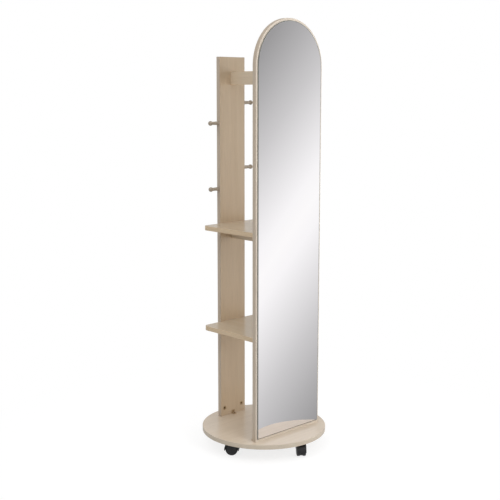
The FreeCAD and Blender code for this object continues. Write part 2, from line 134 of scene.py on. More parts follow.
def grain_noise(tree, grain_axis, width, length, detail):
    """Noise whose cell is length long along the grain and width across it."""
    scale = [1 / width] * 3
    scale[grain_axis] = 1 / length
    place = add(tree, "TexCoord").outputs["Object"]
    stretched = add(tree, "Mapping", {"Vector": place, "Scale": scale}).outputs[0]
    return add(tree, "TexNoise", {"Vector": stretched, "Scale": 1.0, "Detail": detail,
                                  "Roughness": 0.55}).outputs["Fac"]


def melamine(name, grain_axis, dark, light):
    """Printed maple paper under clear resin, grain along an axis (0, 1 or 2). The broad bands of
    the print run between two tones, and the pores take a share off either."""
    material, tree = new_material(name)
    pores = grain_noise(tree, grain_axis, PORE_WIDTH, PORE_LENGTH, detail=3.0)
    bands = grain_noise(tree, grain_axis, BAND_WIDTH, BAND_LENGTH, detail=1.0)
    band_tone = add(tree, "ValToRGB", {"Fac": bands},
                    stops=[(BAND_DARKEST, dark), (BAND_LIGHTEST, light)]).outputs["Color"]
    pore_share = add(tree, "MapRange", {
        "Value": pores, "From Min": PORE_DARKEST, "From Max": PORE_END,
        "To Min": PORE_SHADE, "To Max": 1.0}).outputs["Result"]
    tone = add(tree, "Mix", {"Factor": 1.0, MIX_A: band_tone, MIX_B: pore_share},
               data_type="RGBA", blend_type="MULTIPLY").outputs[MIX_RESULT]
    relief = add(tree, "Bump", {"Height": pores, "Strength": PORE_RELIEF_STRENGTH,
                                "Distance": PORE_RELIEF}).outputs["Normal"]
    shader = add(tree, "BsdfPrincipled", {
        "Base Color": tone, "Roughness": RESIN_ROUGHNESS, "IOR": RESIN_IOR, "Normal": relief})
    add(tree, "OutputMaterial", {"Surface": shader.outputs[0]})
    return material


# paler panel: painted highlight; deeper shelves: painted shade; greyer base: painted sheen
melamine_upright = melamine("maple melamine, upright grain", 2, "#D6C1A5", "#DAC6AB")
melamine_painted_highlight = melamine("maple melamine, upright grain, painted highlight", 2, "#DFD2C2", "#E3D7C8")
melamine_along = melamine("maple melamine, grain along the depth", 1, "#D6C3A9", "#DAC8AF")
melamine_painted_shade = melamine("maple melamine, grain along the depth, painted shade", 1, "#CCBAA1", "#D0BFA7")
melamine_across_painted_sheen = melamine("maple melamine, grain along the width, painted sheen", 0, "#D7C7B3", "#DBCCB9")
print("melamine pores", PORE_WIDTH / MM, "mm wide")

# %% [markdown]
# ## Edge band, tape and turned pegs
#
# The cut edges are covered with ABS strip in the same maple tone, a little duller than the faces.
# The strip on panel and post is a shade greyer than that on shelves and rails, and the base has a
# pale one. The pegs are turned beech under clear lacquer, its flecks running along the peg. The
# foam tape behind the glass is off-white and quite matt.

# %% Edge band, tape and wood materials
FLECK_FROM, FLECK_TO = 0.35, 0.65                # noise values between which a fleck sets in
BEECH_FLECK_WIDTH, BEECH_FLECK_LENGTH = 0.9 * MM, 9 * MM
BEECH_DARKEST, BEECH_LIGHTEST = 0.38, 0.58       # noise values


def plain(name, colour, fleck, roughness, metallic=0.0, fleck_size=0.5 * MM, bump=0.0):
    """One finish with a fine mottling towards a second colour, rough to the touch if it has a
    bump, the height of its grain."""
    material, tree = new_material(name)
    place = add(tree, "TexCoord").outputs["Object"]
    noise = add(tree, "TexNoise", {
        "Vector": place, "Scale": 1 / fleck_size, "Detail": 2.0}).outputs["Fac"]
    spread = add(tree, "MapRange", {
        "Value": noise, "From Min": FLECK_FROM, "From Max": FLECK_TO}).outputs["Result"]
    tone = add(tree, "Mix", {"Factor": spread, MIX_A: linear(colour), MIX_B: linear(fleck)},
               data_type="RGBA").outputs[MIX_RESULT]
    shader = add(tree, "BsdfPrincipled", {
        "Base Color": tone, "Roughness": roughness, "Metallic": metallic})
    if bump:
        relief = add(tree, "Bump", {"Height": noise, "Strength": 1.0, "Distance": bump})
        tree.links.new(relief.outputs["Normal"], shader.inputs["Normal"])
    add(tree, "OutputMaterial", {"Surface": shader.outputs[0]})
    return material


def turned_beech(name, light, dark, grain_axis, roughness):
    """Beech with short darker flecks along the grain axis."""
    material, tree = new_material(name)
    flecks = grain_noise(tree, grain_axis, BEECH_FLECK_WIDTH, BEECH_FLECK_LENGTH, detail=3.0)
    tone = add(tree, "ValToRGB", {"Fac": flecks},
               stops=[(BEECH_DARKEST, dark), (BEECH_LIGHTEST, light)]).outputs["Color"]
    shader = add(tree, "BsdfPrincipled", {"Base Color": tone, "Roughness": roughness})
    add(tree, "OutputMaterial", {"Surface": shader.outputs[0]})
    return material


grey_band = plain("ABS edge band, greyish maple", "#C9BAA8", "#C1B19E", 0.38, fleck_size=2 * MM)
base_band = plain("ABS edge band, pale greyish maple", "#D3C6B4", "#CBBDAA", 0.38,
                  fleck_size=2 * MM)
warm_band = plain("ABS edge band, warm maple", "#DAC3A4", "#D3BB9A", 0.38, fleck_size=2 * MM)
foam_tape = plain("closed-cell foam tape", "#D9D8D2", "#CFCEC8", 0.9, bump=0.05 * MM)
beech_peg = turned_beech("lacquered beech", "#BBAE9E", "#A39685", 0, 0.35)
beech_dowel = turned_beech("bare beech", "#CDB48E", "#B89A72", 2, 0.75)
print("wood and edge materials ready")

# %% [markdown]
# ## The mirror
#
# The pane is 3 mm float glass with silver and dark paint on its back. It could be clear glass over
# a metal layer, with the light passing the pane twice. From the front a smooth metal shows the
# same image with less noise, so it is used here. The ground arris shows the thickness of the
# glass: dark grey, partly from the long way the light takes through the pane, partly painted shade
# of the gap at the glass's edge. The narrow side behind the arris is painted paler, a painted
# highlight for the light it catches. Each of the three lies at its own depth, so the place of a
# point tells which of them it is.

# %% Silvered glass material
ARRIS_DEPTH = 0.8 * MM
FRONT_DEPTH = 0.05 * MM                          # what lies no deeper is the pane's front plane


def silvered_glass():
    """Metal on the front plane; arris dark grey, partly painted shade; side a painted highlight."""
    material, tree = new_material("silvered float glass, ground arris")
    front_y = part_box("mirror_glass")[0].y
    place = add(tree, "TexCoord").outputs["Object"]
    depth = add(tree, "SeparateXYZ", {"Vector": place}).outputs["Y"]
    is_front, is_arris = [
        add(tree, "Math", {0: depth, 1: front_y + limit}, operation="LESS_THAN").outputs[0]
        for limit in (FRONT_DEPTH, ARRIS_DEPTH)]
    # arris: dark glass, partly painted shade; side: paler, a painted highlight
    side, arris = linear("#92918A"), linear("#6E6F6A")
    tone = add(tree, "Mix", {"Factor": is_arris, MIX_A: side, MIX_B: arris},
               data_type="RGBA").outputs[MIX_RESULT]
    silver = add(tree, "BsdfPrincipled", {
        "Base Color": linear("#F4F2F4"), "Metallic": 1.0, "Roughness": 0.0})
    edge = add(tree, "BsdfPrincipled", {"Base Color": tone, "Roughness": 0.08, "IOR": 1.52})
    both = add(tree, "MixShader", {0: is_front, 1: edge.outputs[0], 2: silver.outputs[0]})
    add(tree, "OutputMaterial", {"Surface": both.outputs[0]})
    return material


mirror_material = silvered_glass()

# %% [markdown]
# ## Metal fittings and castor nylon
#
# Cam locks are die-cast zinc with a yellow chromate skin, dull and slightly grainy, and darkened in
# their recess with painted shade. Bolts, screws, kingpins, axles and castor plates are zinc-plated
# steel, a little bluish. The corner brackets are pressed steel with light brown enamel, their
# screws darker and with painted shade in their recess too. The castors are moulded black nylon:
# satin, with the faint sparkle of a spark-eroded mould.

# %% Metal and nylon materials
# the darkening of the recess is painted shade
PAINTED_SHADE_FROM, PAINTED_SHADE_TO = 0.1, 0.6                # shares of the depth: dark begins, dark is full
GRAIN_SIZE, GRAIN_RELIEF = 0.5 * MM, 0.02 * MM
GRAIN_DARK, GRAIN_LIGHT = 0.88, 1.06             # what the grain makes of the tone


def with_painted_recess_shade(name, face, painted_shade_colour, roughness, metallic):
    """A fastener's finish, darkened with painted shade by the depth of its recess in the UV map."""
    material, tree = new_material(name)
    depth_map = add(tree, "UVMap", uv_map="depth").outputs[0]
    depth = add(tree, "SeparateXYZ", {"Vector": depth_map}).outputs["X"]
    # painted shade: the recess grows darker with its depth
    dark = add(tree, "MapRange", {
        "Value": depth, "From Min": PAINTED_SHADE_FROM, "From Max": PAINTED_SHADE_TO}).outputs["Result"]
    tone = add(tree, "Mix", {"Factor": dark, MIX_A: linear(face), MIX_B: linear(painted_shade_colour)},
               data_type="RGBA").outputs[MIX_RESULT]
    place = add(tree, "TexCoord").outputs["Object"]
    grain = add(tree, "TexNoise", {
        "Vector": place, "Scale": 1 / GRAIN_SIZE, "Detail": 2.0}).outputs["Fac"]
    shade = add(tree, "MapRange", {
        "Value": grain, "To Min": GRAIN_DARK, "To Max": GRAIN_LIGHT}).outputs["Result"]
    shaded_tone = add(tree, "Mix", {"Factor": 1.0, MIX_A: tone, MIX_B: shade},
                      data_type="RGBA", blend_type="MULTIPLY").outputs[MIX_RESULT]
    relief = add(tree, "Bump", {
        "Height": grain, "Strength": 1.0, "Distance": GRAIN_RELIEF}).outputs["Normal"]
    shader = add(tree, "BsdfPrincipled", {
        "Base Color": shaded_tone, "Roughness": roughness, "Metallic": metallic,
        "Normal": relief})
    add(tree, "OutputMaterial", {"Surface": shader.outputs[0]})
    return material


# both finishes carry painted shade in their recesses
chromated_zinc = with_painted_recess_shade("yellow-chromated die-cast zinc, painted shade in the recess", "#C0A886", "#3A2A18", 0.5, 1.0)
brown_screw = with_painted_recess_shade("brown enamel on screws, painted shade in the recess", "#96795A", "#20160D", 0.4, 0.0)
zinc_steel = plain("zinc-plated steel", "#C3C6C9", "#B4B8BD", 0.3, metallic=1.0,
                   fleck_size=1.5 * MM)
brown_enamel = plain("light brown enamel on steel", "#B09878", "#A48B6B", 0.4,
                     fleck_size=0.8 * MM)
black_nylon = plain("moulded black nylon", "#161618", "#1D1D1F", 0.42, fleck_size=0.4 * MM,
                    bump=0.02 * MM)
print("metal and nylon materials ready")

# %% [markdown]
# ## Give every node its finish
#
# The record says which slot each node takes its finish from. The boards share one slot, but some
# have a tone of their own, painted light and shade for how they are lit, and each has its own
# direction of grain: upright on panel and post, along the depth on shelves and rails, across on
# the base.

# %% Assign the materials
finish_of_slot = {
    "board_laminate": melamine_along, "edge_band": grey_band, "mirror": mirror_material,
    "foam_tape": foam_tape, "peg_wood": beech_peg, "dowel_wood": beech_dowel,
    "zinc_casting": chromated_zinc, "zinc_plated_steel": zinc_steel,
    "brown_bracket": brown_enamel, "black_nylon": black_nylon,
}
finish_of_board = {
    "mirror_panel": melamine_painted_highlight, "post": melamine_upright, "base_board": melamine_across_painted_sheen,
    "lower_shelf": melamine_painted_shade, "upper_shelf": melamine_painted_shade,
}

for part in frame["record"]["subparts"]:
    finish = finish_of_board.get(part["node"], finish_of_slot[part["material_slot"]])
    for material_slot in nodes[part["node"]].material_slots:
        material_slot.material = finish

# %% [markdown]
# ## How the new pieces are made
#
# Construction drawings stop at plain edges and plain screw heads. The pieces below give the edge
# strips their trimmed rims, the cams and screws their driver recesses, the brackets their bend and
# the castor wheels their moulded face. Each is a surface worked out with numpy: either one section
# carried along a path, or one profile turned about an axis. Modelling by hand would do as well,
# but here every size stays a number that can be read and changed.

# %% Surfaces from sections and profiles
X, Y, Z = AXES = np.eye(3)


def grid_faces(rows, columns, close_rows=False):
    """Quads of a grid of points numbered row by row. Each row is a ring; rows may close too."""
    starts = np.arange(rows if close_rows else rows - 1)
    row, column = np.meshgrid(starts, np.arange(columns), indexing="ij")
    next_row, next_column = (row + 1) % rows, (column + 1) % columns
    return np.stack([row * columns + column, row * columns + next_column,
                     next_row * columns + next_column, next_row * columns + column],
                    -1).reshape(-1, 4)


def skin(sections, closed_path=False):
    """Joins N sections of M points each, given as an N x M x 3 array. An open path gets flat
    end caps."""
    count, ring = sections.shape[:2]
    faces = grid_faces(count, ring, closed_path).tolist()
    if not closed_path:
        faces += [list(range(ring))[::-1], list(range((count - 1) * ring, count * ring))]
    return sections.reshape(-1, 3), faces


def turned(profile, segments):
    """Turns (along, radius) points about X: y = radius cos t, z = radius sin t. The first and
    the last point lie on the axis, where a fan of triangles closes each end."""
    profile = np.asarray(profile, float)
    t = np.linspace(0, 2 * np.pi, segments, endpoint=False)
    along, radius = profile[1:-1, :1], profile[1:-1, 1:]
    rings = np.stack([along + 0 * t, radius * np.cos(t), radius * np.sin(t)], -1).reshape(-1, 3)
    points = np.vstack([[profile[0, 0], 0, 0], rings, [profile[-1, 0], 0, 0]])
    here = np.arange(segments)
    after, last = (here + 1) % segments, len(points) - 1 - segments
    start_fan = np.stack([0 * here, 1 + after, 1 + here], 1)
    end_fan = np.stack([0 * here + len(points) - 1, last + here, last + after], 1)
    side = 1 + grid_faces(len(profile) - 2, segments)
    return points, side.tolist() + start_fan.tolist() + end_fan.tolist()


def seated(points, place, along, up):
    """Turns and shifts points: their X runs along one direction, their Z points up another."""
    along, up = np.array(along, float), np.array(up, float)
    return np.array(place) + points @ np.stack([along, np.cross(up, along), up])


def joined(solids):
    """Several (points, faces) pairs as one pair."""
    starts = np.cumsum([0] + [len(points) for points, _ in solids])
    faces = [[int(start) + corner for corner in face]
             for start, (_, own_faces) in zip(starts, solids) for face in own_faces]
    return np.vstack([points for points, _ in solids]), faces


print("surface helpers ready")

# %% From points to a piece of the stand
SHARP_ANGLE = math.radians(35)                   # edges that turn by more stay crisp


def put(name, solid, material, slot, body, *replaced, depth=None):
    """Makes the mesh, turns its faces outward and hands the piece to its body. depth is an
    optional number per point, kept in the UV map for the material."""
    points, faces = solid
    mesh = bpy.data.meshes.new(name)
    mesh.from_pydata(points.tolist(), [], faces)
    shell = bmesh.new()
    shell.from_mesh(mesh)
    if shell.calc_volume(signed=True) < 0:
        bmesh.ops.reverse_faces(shell, faces=shell.faces)
        shell.to_mesh(mesh)
    shell.free()
    mesh.shade_smooth()
    mesh.set_sharp_from_angle(angle=SHARP_ANGLE)
    if depth is not None:
        corner_point = np.zeros(len(mesh.loops), int)
        mesh.loops.foreach_get("vertex_index", corner_point)
        share = np.asarray(depth)[corner_point]
        depth_map = mesh.uv_layers.new(name="depth")
        depth_map.data.foreach_set("uv", np.stack([share, 0 * share], 1).ravel())
    mesh.materials.append(material)
    piece = bpy.data.objects.new(name, mesh)
    bpy.context.scene.collection.objects.link(piece)
    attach(piece, body)
    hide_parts(*replaced)


def corner_values(node):
    """The node's lowest and highest corners as two arrays."""
    low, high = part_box(node)
    return np.array(low), np.array(high)


# %% [markdown]
# ## Edge bands with trimmed rims
#
# Edge band is glued on a little wider than the board and trimmed with a rounding cutter, which
# leaves a small radius along both rims. That radius catches the light as a fine line round every
# board, so it is worth modelling. A bevel on a plain strip would do it too; here the strip's
# section, its outer corners rounded, is carried along the board's outline, which keeps the quads
# even all the way round.

# %% Section and paths of the edge bands
BAND, TRIM = 1.0 * MM, 0.7 * MM                  # strip thickness and radius of the trimmed rim
quarter = np.linspace(0, np.pi / 2, 6)


def band(path, outward, across, width, closed=False):
    """Carries the strip's section along a path: point + u * outward + v * across, where u runs
    from -BAND to 0 and v from 0 to the width, with quarter circles at the two outer corners."""
    low_u, low_v = -TRIM + TRIM * np.sin(quarter), TRIM - TRIM * np.cos(quarter)
    u = np.concatenate([[-BAND], low_u, low_u[::-1], [-BAND]])[:, None]
    v = np.concatenate([[0.0], low_v, width - low_v[::-1], [width]])[:, None]
    path = np.array(path, float)
    outward = np.broadcast_to(outward, path.shape)
    return skin(path[:, None] + u * outward[:, None] + v * across, closed)


def flat_band(outline, ways, axis, low, high, closed=False):
    """A band whose path lies flat: 2-D points with their outward directions, and the strip's
    width along the third axis, from a node's lowest corner to its highest."""
    path = np.insert(outline, axis, low[axis], 1)
    outward = np.insert(ways, axis, 0.0, 1)
    return band(path, outward, AXES[axis], high[axis] - low[axis], closed)


def arc(middle, radius, start, end, steps):
    """Points of an arc and their outward directions, as two steps x 2 arrays, in degrees."""
    t = np.radians(np.linspace(start, end, steps))
    ways = np.stack([np.cos(t), np.sin(t)], 1)
    return np.array(middle) + radius * ways, ways


print("band section: trimmed radius", TRIM / MM, "mm")

# %% Bands of the base, the mirror panel and the shelves
BASE_STEPS, ARCH_STEPS, CORNER_STEPS = 192, 97, 17
SHELF_CORNER = 20 * MM

low, high = corner_values("base_edge_band")
rim, ways = arc((0, 0), high[0], 0, 360 * (BASE_STEPS - 1) / BASE_STEPS, BASE_STEPS)
base_strip = flat_band(rim, ways, 2, low, high, closed=True)
put("base_edge_strip", base_strip, base_band, "edge_band", "stand", "base_edge_band")

low, high = corner_values("mirror_panel_edge_band")
half, foot = high[0], low[2]
arch, ways = arc((0, high[2] - half), half, 0, 180, ARCH_STEPS)
outline = np.vstack([[half, foot], arch, [-half, foot]])
panel_strip = flat_band(outline, np.vstack([ways[:1], ways, ways[-1:]]), 1, low, high)
put("mirror_panel_edge_strip", panel_strip, grey_band, "edge_band", "stand",
    "mirror_panel_edge_band")

for shelf in ("lower_shelf", "upper_shelf"):
    low, high = corner_values(shelf + "_edge_band")
    right, right_ways = arc(high[:2] - SHELF_CORNER, SHELF_CORNER, 0, 90, CORNER_STEPS)
    left, left_ways = right[::-1] * (-1, 1), right_ways[::-1] * (-1, 1)
    outline = np.vstack([[high[0], low[1]], right, left, [-high[0], low[1]]])
    ways = np.vstack([[1, 0], right_ways, left_ways, [-1, 0]])
    strip = flat_band(outline, ways, 2, low, high)
    put(shelf + "_edge_strip", strip, warm_band, "edge_band", "stand", shelf + "_edge_band")
print("closed rim of the base, arch of the panel and two shelf edges banded")

# %% Straight bands of the post and the rails
low, high = corner_values("post_edge_bands")
thickness = high[1] - low[1]
strips = [band([[side, low[1], low[2]], [side, low[1], high[2]]], outward, Y, thickness)
          for side, outward in ((low[0], -X), (high[0], X))]
top_ends = [[low[0] + BAND, low[1], high[2]], [high[0] - BAND, low[1], high[2]]]
strips.append(band(top_ends, Z, Y, thickness))
put("post_edge_strips", joined(strips), grey_band, "edge_band", "stand", "post_edge_bands")

for rail, both_edges in (("top_rail", True), ("under_shelf_rail", False)):
    low, high = corner_values(rail + "_edge_bands")
    levels = [(low[2], -Z), (high[2], Z)] if both_edges else [(low[2], -Z)]
    strips = [band([[low[0], low[1], level], [low[0], high[1], level]], outward, X,
                   high[0] - low[0]) for level, outward in levels]
    put(rail + "_edge_strips", joined(strips), warm_band, "edge_band", "stand",
        rail + "_edge_bands")
print("post and rails banded")

# %% [markdown]
# ## Cams and screws
#
# A cam lock is turned with a screwdriver, so its face has a cross recess with a deeper middle.
# Seen from a step away it is the dark recess that shows, while the yellowish chromated rim nearly
# vanishes in the board. Face, rim and drum are one turned profile. The cross could be cut out with
# a second solid, but that leaves slivers; here it is pressed in by lowering the points of the face
# that lie inside it. How far each was lowered is kept, and the material darkens by it with painted
# shade. The pan-head screws of the brackets are made the same way.

# %% A recess for the screwdriver
ARM_WALL, ARM_END, PIT_WALL = 0.25, 0.2, 0.3     # slopes, as shares of arm width, arm and pit
PIT_EXTRA = 0.5                                  # how much deeper the pit is, as a share
FACE_LAYER = 0.5 * MM                            # points no further back belong to the face


def cross_depth(y, z, arm, width, pit, deep):
    """Depth at a point of a face. Inside an arm, |y| or |z| below half the width, it is deep;
    beyond the arm's length it fades to nothing; a round pit in the middle goes down further."""
    radius, beside = np.hypot(y, z), np.minimum(np.abs(y), np.abs(z))
    slope = ARM_WALL * width
    in_width = np.clip((width / 2 + slope - beside) / (2 * slope), 0, 1)
    in_length = np.clip((arm - radius) / (ARM_END * arm), 0, 1)
    in_pit = np.clip((pit - radius) / (PIT_WALL * pit), 0, 1)
    return deep * np.maximum(in_width * in_length, in_pit) + PIT_EXTRA * deep * in_pit


def pressed(solid, face_radius, **cross):
    """Presses the cross into the front of a turned solid, within a radius. Gives the solid and
    each point's depth as a share of the deepest."""
    points, faces = solid
    x, y, z = points.T
    front = (x > -FACE_LAYER) & (np.hypot(y, z) < face_radius)
    drop = np.where(front, cross_depth(y, z, **cross), 0.0)
    return (points - drop[:, None] * X, faces), drop / drop.max()


CAM_RADIUS, CAM_DEEP, CAM_ARRIS = 7.5 * MM, 12.5 * MM, 0.35 * MM
CAM_RINGS = np.array([0, 0.5, 1.0, 1.4, 1.8, 2.2, 2.6, 3.0, 3.4, 3.8, 4.2, 4.6, 5.0, 6.2, 7.1])
CAM_CROSS = {"arm": 4.4 * MM, "width": 1.7 * MM, "pit": 2.9 * MM, "deep": 2.0 * MM}
cam_face = np.stack([0 * CAM_RINGS, CAM_RINGS * MM], 1)
drum = [(-CAM_ARRIS, CAM_RADIUS), (-CAM_DEEP, CAM_RADIUS), (-CAM_DEEP, 0.0)]
cam_solid, cam_drop = pressed(turned(np.vstack([cam_face, drum]), segments=64),
                              face_radius=5.2 * MM, **CAM_CROSS)
print("cam:", len(cam_solid[0]), "points, recess",
      round((1 + PIT_EXTRA) * CAM_CROSS["deep"] / MM, 1), "mm deep in the middle")

# %% A pan-head screw
HEAD_RADIUS, HEAD_DOME, HEAD_HIGH = 3.2 * MM, 1.2 * MM, 1.8 * MM
SHANK_RADIUS, TAPER_START, SCREW_END, TIP_RADIUS = 1.6 * MM, 12.6 * MM, 13.8 * MM, 0.3 * MM
HEAD_RINGS = np.array([0, 0.3, 0.6, 0.9, 1.2, 1.5, 1.8, 2.1, 2.4, 2.7, 2.9, 3.05, 3.15, 3.2]) * MM
SCREW_CROSS = {"arm": 1.9 * MM, "width": 0.8 * MM, "pit": 1.2 * MM, "deep": 1.0 * MM}
height = np.sqrt(np.clip(1 - (HEAD_RINGS / HEAD_RADIUS) ** 2, 0, 1))
dome = np.stack([-HEAD_DOME * (1 - height), HEAD_RINGS], 1)
shank = [(-HEAD_HIGH, HEAD_RADIUS), (-HEAD_HIGH, SHANK_RADIUS), (-TAPER_START, SHANK_RADIUS),
         (-SCREW_END, TIP_RADIUS), (-SCREW_END, 0)]
screw_solid, screw_drop = pressed(turned(np.vstack([dome, shank]), segments=48),
                                  face_radius=2.1 * MM, **SCREW_CROSS)
print("screw:", len(screw_solid[0]), "points")

# %% Fourteen cams in their seats
CAM_FROM_JOINT, FOOT_CAM_RISE, RAIL_CAM_RISE = 34 * MM, 30 * MM, 29 * MM
SHELF_CAM_X, POST_CAM_X = 114 * MM, 43 * MM
BOTH_SIDES = (-1, 1)


def spun(solid, place, outward, spin):
    """Seats a turned solid with its face towards outward, its cross turned by the spin angle."""
    side = Z if abs(outward[2]) < 0.5 else X
    up = math.cos(spin) * side + math.sin(spin) * np.cross(outward, side)
    return seated(solid[0], place, outward, up), solid[1]


panel_back = corner_values("mirror_panel")[1][1]
post_front, post_foot = corner_values("post")[0][1:]
at_panel, at_post = panel_back + CAM_FROM_JOINT, post_front - CAM_FROM_JOINT
cam_seats = [((side * POST_CAM_X, post_front, post_foot + FOOT_CAM_RISE), -Y)
             for side in BOTH_SIDES]
for shelf in ("lower_shelf", "upper_shelf"):
    underside = corner_values(shelf)[0][2]
    cam_seats += [((side * x, y, underside), -Z) for side in BOTH_SIDES
                  for x, y in ((SHELF_CAM_X, at_panel), (POST_CAM_X, at_post))]
for rail in ("top_rail", "under_shelf_rail"):
    right_face = corner_values(rail)[1][0]
    cam_height = corner_values(rail + "_edge_bands")[0][2] + RAIL_CAM_RISE
    cam_seats += [((right_face, y, cam_height), X) for y in (at_panel, at_post)]
cams = joined([spun(cam_solid, place, outward, 0.4 + 0.9 * i)     # no two left at the same angle
               for i, (place, outward) in enumerate(cam_seats)])
put("cam_lock_drums", cams, chromated_zinc, "zinc_casting", "stand", "cam_locks",
    depth=np.tile(cam_drop, len(cam_seats)))
print(len(cam_seats), "cams seated")

# %% Six screws in their seats
BRACKET, STEEL = 14 * MM, 2 * MM                 # leg and thickness of the corner brackets
HOLE_RISE = 8.5 * MM                             # from the bracket's corner to its screw

bracket_corners = {}
for bracket, outward in (("panel_bracket_left", Y), ("panel_bracket_right", Y),
                         ("post_bracket", -Y)):
    low, high = corner_values(bracket)
    against = (low if outward[1] > 0 else high)[1]
    bracket_corners[bracket] = np.array([(low[0] + high[0]) / 2, against, low[2]]), outward
screw_seats = []
for corner, outward in bracket_corners.values():
    for leg, face in ((Z, outward), (outward, Z)):
        screw_seats.append((corner + face * (STEEL + HEAD_HIGH) + leg * HOLE_RISE, face))
screws = joined([spun(screw_solid, place, face, 0.5 + 0.7 * i)
                 for i, (place, face) in enumerate(screw_seats)])
put("bracket_pan_heads", screws, brown_screw, "brown_bracket", "stand", "bracket_screws",
    depth=np.tile(screw_drop, len(screw_seats)))
print(len(screw_seats), "screws seated")

# %% [markdown]
# ## Corner brackets
#
# Each bracket is a strip of steel folded to a right angle in a press, its two ends rounded off. So
# the section is a flat rectangle, and it is carried along the leg, round the bend and out along
# the other leg, just as the press leaves it. Towards each end the section narrows along a quarter
# circle.

# %% Folded brackets
BEND, END_ROUND = 3 * MM, 3 * MM                 # outer radius of the fold, radius of the ends

fold = np.linspace(0, np.pi / 2, 9)[1:-1, None]
end_steps = END_ROUND * np.array([0, 0.05, 0.2, 0.45, 0.75, 1.0])
leg = np.append(BRACKET - end_steps, BEND)       # distances from the corner, the leg's end first
upright, level = np.stack([0 * leg, leg], 1), np.stack([leg, 0 * leg], 1)[::-1]
inward = np.hstack([np.cos(fold), np.sin(fold)])
outer = np.vstack([upright, BEND - BEND * inward, level])
inner = outer + STEEL * np.vstack([0 * upright + (1, 0), inward, 0 * level + (0, 1)])
from_end = np.minimum(END_ROUND, BRACKET - outer.max(1))
half_width = BRACKET / 2 - END_ROUND + np.sqrt(END_ROUND ** 2 - (END_ROUND - from_end) ** 2)
leg_sections = np.stack([np.column_stack([side * half_width, path])
                         for path, side in ((outer, -1), (outer, 1), (inner, 1), (inner, -1))], 1)
points, faces = skin(leg_sections)
for bracket, (corner, outward) in bracket_corners.items():
    placed = points * (1, outward[1], 1) + corner
    put(bracket.replace("_bracket", "_folded_bracket"), (placed, faces), brown_enamel,
        "brown_bracket", "stand", bracket)
print("brackets folded from", STEEL / MM, "mm steel")

# %% [markdown]
# ## Castor wheels
#
# A twin-wheel castor has two moulded nylon wheels on one axle. The tread is slightly crowned, so
# that the wheel swivels easily; the outer face is dished, with a turned groove near its rim and a
# domed hub cap. Cylinders and bevels would give the same parts one by one; a single profile,
# turned about the axle, gives all of them at once. The joints say where each axle lies and which
# way it points, so eight wheels come from one profile.

# %% Turned wheels
# All in millimetres; the places along the axle count from the castor's middle.
WHEEL_RADIUS, BORE_RADIUS, BORE_END = 22.0, 3.1, 13.3
INNER_FACE, OUTER_FACE = 5.0, 16.0
TREAD_MIDDLE, TREAD_HALF, CROWN = 4.6, 3.4, 0.25  # from the inner face; half width; rise
SHOULDER = 3.0                                    # radius between the tread and the outer face

bore = [(BORE_END, 0.0), (BORE_END, BORE_RADIUS), (INNER_FACE, BORE_RADIUS)]
inner_rim = [(INNER_FACE, 20.6), (INNER_FACE + 0.35, 21.4)]
t = np.linspace(-1, 1, 9)
tread = np.stack([INNER_FACE + TREAD_MIDDLE + TREAD_HALF * t, WHEEL_RADIUS - CROWN * t * t], 1)
a = np.radians([15, 30, 45, 60, 75, 90])
shoulder = np.stack([OUTER_FACE - SHOULDER + SHOULDER * np.sin(a),
                     WHEEL_RADIUS - CROWN - SHOULDER + SHOULDER * np.cos(a)], 1)
rim_groove = [(16.0, 18.4), (15.7, 18.2), (15.5, 17.9), (15.5, 17.5), (15.7, 17.2), (15.95, 17.0)]
dish = [(15.95, 16.6), (15.6, 16.2), (15.0, 14.5), (14.6, 11.5), (14.4, 8.5), (14.3, 7.1)]
hub_cap = [(14.35, 6.7), (14.9, 6.4), (15.3, 5.9), (15.5, 4.6), (15.6, 2.6), (15.62, 0.0)]
wheel_profile = np.vstack([bore, inner_rim, tread, shoulder, rim_groove, dish, hub_cap]) * MM
wheel_points, wheel_faces = turned(wheel_profile, segments=72)

wheel_joints = [joint for joint in frame["joints"] if "_wheel_" in joint["name"]]
for joint in wheel_joints:
    wheel, axle = joint["child"], np.array(joint["axis"], float)
    low, high = corner_values(wheel)
    axle *= math.copysign(1, (low + high) / 2 @ axle - np.array(joint["pos_m"]) @ axle)
    points = seated(wheel_points, joint["pos_m"], axle, Z)
    put(wheel.replace("wheel", "moulded_wheel"), (points, wheel_faces), black_nylon,
        "black_nylon", wheel, wheel)
print(len(wheel_joints), "wheels turned, tread", 2 * WHEEL_RADIUS, "mm across")

# %% [markdown]
# ## The camera
#
# The stand is seen from its front left, a little from above, with a long lens from over three
# metres away, so that its uprights stay nearly parallel.

# %% Camera
CAMERA_PLACE = (-2.4196, -2.4497, 1.2762)
CAMERA_HEADING = math.radians(43.80)             # turned from +Y towards +X
CAMERA_PITCH = math.radians(9.26)                # looking down
FOCAL_LENGTH, FILM_WIDTH = 70.26, 36.0           # millimetres

camera_data = bpy.data.cameras.new("camera")
camera_data.sensor_width = FILM_WIDTH
camera_data.lens = FOCAL_LENGTH
camera = bpy.data.objects.new("camera", camera_data)
camera.location = CAMERA_PLACE
camera.rotation_euler = (math.pi / 2 - CAMERA_PITCH, 0.0, -CAMERA_HEADING)
bpy.context.scene.collection.objects.link(camera)
bpy.context.scene.camera = camera
print("camera", round(math.dist(CAMERA_PLACE, (0, 0, 0.75)), 2), "m from the stand's middle")

# %% [markdown]
# ## The studio
#
# A mirror shows what stands opposite it, so the surroundings matter as much as the lamps. Here the
# world does three jobs, told apart by the kind of ray: plain white behind the stand, a light that
# grows towards the ceiling on everything matt, and soft slanting bands of light and shade for
# whatever is glossy, with white panels above them. All three depend only on the direction in the
# room, so they stay put when somebody walks round the mirror.

